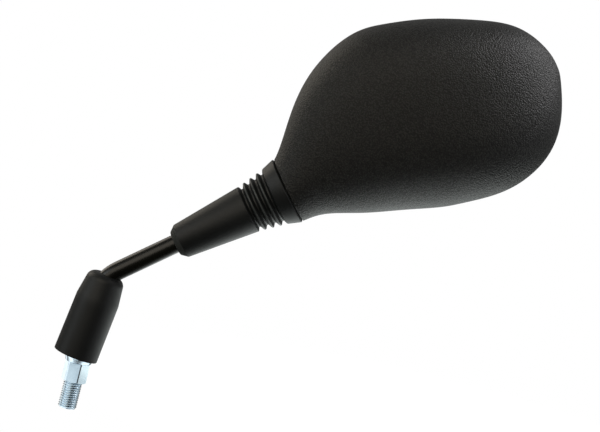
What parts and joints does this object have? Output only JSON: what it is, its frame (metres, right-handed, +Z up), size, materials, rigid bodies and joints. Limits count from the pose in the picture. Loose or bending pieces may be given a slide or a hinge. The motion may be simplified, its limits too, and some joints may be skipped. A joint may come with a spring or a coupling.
{
  "type": "motorcycle mirror",
  "caption": "Handlebar rear-view mirror: teardrop plastic head with convex glass on a ball joint, a bent steel rod in rubber boots and a threaded stud.",
  "frame": {"origin": "on the stud's axis, on the underside of its hexagon, which seats on the clamp", "axes": "+Z up the stud, +X out along the arm in plan, +Y the way the glass faces, towards the rider"},
  "size_m": [0.2301, 0.0439, 0.2563],
  "materials": {
    "zinc_plate": "bright blue passivated zinc plate",
    "black_paint": "semi-gloss black enamel",
    "bare_steel": "turned steel",
    "boot_rubber": "moulded satin black rubber",
    "nylon": "natural nylon",
    "grained_plastic": "black plastic with a fine moulded grain",
    "mirror_glass": "silvered convex glass",
    "foam": "black adhesive foam"
  },
  "bodies": {
    "base": {"threaded_stud": "zinc_plate"},
    "arm": {"stem_rod": "black_paint", "lock_nut": "zinc_plate", "stem_boot": "boot_rubber", "swivel_ball": "bare_steel", "neck_boot": "boot_rubber"},
    "liner_neck": {"neck_liner": "nylon"},
    "liner_cap": {"cap_liner": "nylon"},
    "head": {"housing": "grained_plastic", "mirror_glass": "mirror_glass", "glass_pad": "foam", "clamp_plate": "zinc_plate", "spring_washers": "bare_steel", "clamp_screws": "zinc_plate"}
  },
  "joints": [
    {"name": "stem_swivel", "type": "hinge", "parent": "base", "child": "arm", "pos_m": [0, 0, 0.0248], "axis": [0, 0, 1], "range_deg": [-180, 180]},
    {"name": "head_raise", "type": "hinge", "parent": "arm", "child": "liner_neck", "pos_m": [0.09177, 0, 0.13321], "axis": [0, -1, 0], "range_deg": [-10, 10], "deforming": ["neck_boot"]},
    {"name": "head_twist", "type": "hinge", "parent": "liner_neck", "child": "liner_cap", "pos_m": [0.09177, 0, 0.13321], "axis": [0.766, 0, 0.6428], "range_deg": [-30, 30], "deforming": ["neck_boot"]},
    {"name": "head_turn", "type": "hinge", "parent": "liner_cap", "child": "head", "pos_m": [0.09177, 0, 0.13321], "axis": [-0.6428, 0, 0.766], "range_deg": [-10, 10], "deforming": ["neck_boot"]}
  ]
}
